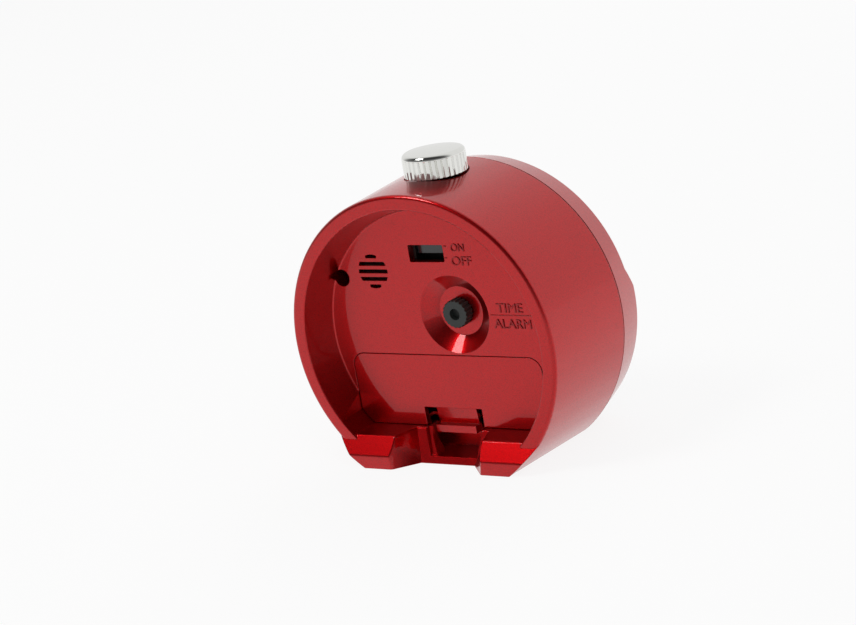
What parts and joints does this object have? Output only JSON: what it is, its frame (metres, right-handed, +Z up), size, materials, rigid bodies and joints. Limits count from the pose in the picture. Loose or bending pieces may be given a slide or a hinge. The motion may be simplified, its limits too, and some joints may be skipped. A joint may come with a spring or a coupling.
{
  "type": "alarm clock",
  "caption": "Drum-shaped quartz alarm clock on a flat base with two rear feet, a recessed rear panel with knob, switch and battery door, and a fluted push button on top.",
  "frame": {"origin": "middle of the footprint on the ground plane that the flat base stands on", "axes": "+Z up, the dial faces -Y and the rear panel faces +Y, +X is on the right of a viewer who faces the dial"},
  "size_m": [0.093, 0.0524, 0.09],
  "materials": {
    "case_red": "metallic red lacquer under a clear coat, glossy",
    "bezel_red": "metallic red lacquer under a clear coat, glossy",
    "door_red": "metallic red lacquer under a clear coat, glossy",
    "button_chrome": "bright plating over fluted plastic",
    "knob_black": "moulded charcoal black, satin",
    "slider_black": "moulded black, glossy",
    "housing_black": "moulded black",
    "clear_lens": "clear and polished",
    "dial_white": "printed white, matt",
    "ring_white": "moulded off-white, satin",
    "hands_black": "lacquered black, satin",
    "hand_red": "lacquered red, satin",
    "movement_white": "natural white moulding",
    "wheel_plastic": "natural acetal",
    "nut_brass": "turned and bright",
    "shaft_steel": "drawn and bright",
    "coil_copper": "enamelled winding wire",
    "board_green": "solder mask over laminate",
    "cell_jacket": "plain jacket, satin",
    "spring_steel": "nickel plated",
    "screw_steel": "zinc plated",
    "speaker_black": "moulded black",
    "cone_paper": "pressed film, dull"
  },
  "bodies": {
    "case": {"drum_case": "case_red", "front_bezel": "bezel_red", "front_lens": "clear_lens", "dial_ring": "ring_white", "dial_plate": "dial_white", "dial_retainer": "ring_white", "movement_base": "movement_white", "movement_cover": "movement_white", "centre_nut": "nut_brass", "motor_coil": "coil_copper", "motor_stator": "shaft_steel", "movement_board": "board_green", "quartz_crystal": "spring_steel", "switch_housing": "housing_black", "speaker_frame": "speaker_black", "speaker_cone": "cone_paper", "case_screws": "screw_steel", "battery_cell": "cell_jacket", "contact_plus": "spring_steel", "contact_minus": "spring_steel", "contact_coil": "spring_steel", "button_board": "board_green", "button_switch": "housing_black", "board_screws": "screw_steel", "button_spring": "spring_steel"},
    "snooze_button": {"button_cap": "button_chrome", "button_stem": "housing_black", "stem_clip": "spring_steel"},
    "alarm_switch": {"switch_slider": "slider_black"},
    "door": {"battery_door": "door_red"},
    "minute_work": {"minute_wheel": "wheel_plastic", "minute_hand": "hands_black"},
    "hour_work": {"hour_wheel": "wheel_plastic", "hour_hand": "hands_black"},
    "setting_work": {"set_wheel": "wheel_plastic", "set_shaft": "shaft_steel", "set_knob": "knob_black"},
    "second_work": {"second_wheel": "wheel_plastic", "second_hand": "hand_red"},
    "alarm_work": {"alarm_wheel": "wheel_plastic", "alarm_hand": "hand_red"}
  },
  "joints": [
    {"name": "button_press", "type": "slide", "parent": "case", "child": "snooze_button", "axis": [0, 0, -1], "range_m": [0, 0.0012], "stiffness_N_per_m": 400, "springref_m": -0.003, "deforming": ["button_spring"]},
    {"name": "alarm_switch_slide", "type": "slide", "parent": "case", "child": "alarm_switch", "axis": [0, 0, -1], "range_m": [0, 0.0022]},
    {"name": "door_hinge", "type": "hinge", "parent": "case", "child": "door", "pos_m": [0, 0.0125, 0.031], "axis": [1, 0, 0], "range_deg": [0, 60]},
    {"name": "minute_turn", "type": "hinge", "parent": "case", "child": "minute_work", "pos_m": [0, 0, 0.0372], "axis": [0, 1, 0], "continuous": true},
    {"name": "hour_turn", "type": "hinge", "parent": "case", "child": "hour_work", "pos_m": [0, 0, 0.0372], "axis": [0, 1, 0], "continuous": true},
    {"name": "setting_turn", "type": "hinge", "parent": "case", "child": "setting_work", "pos_m": [-0.0063, 0, 0.0436], "axis": [0, 1, 0], "continuous": true},
    {"name": "second_turn", "type": "hinge", "parent": "case", "child": "second_work", "pos_m": [0, 0, 0.0372], "axis": [0, 1, 0], "continuous": true},
    {"name": "alarm_turn", "type": "hinge", "parent": "case", "child": "alarm_work", "pos_m": [0, 0, 0.0372], "axis": [0, 1, 0], "continuous": true}
  ],
  "couplings": [
    {"joint": "hour_turn", "follows": "minute_turn", "ratio": 0.083333},
    {"joint": "setting_turn", "follows": "minute_turn", "ratio": -0.33333}
  ]
}
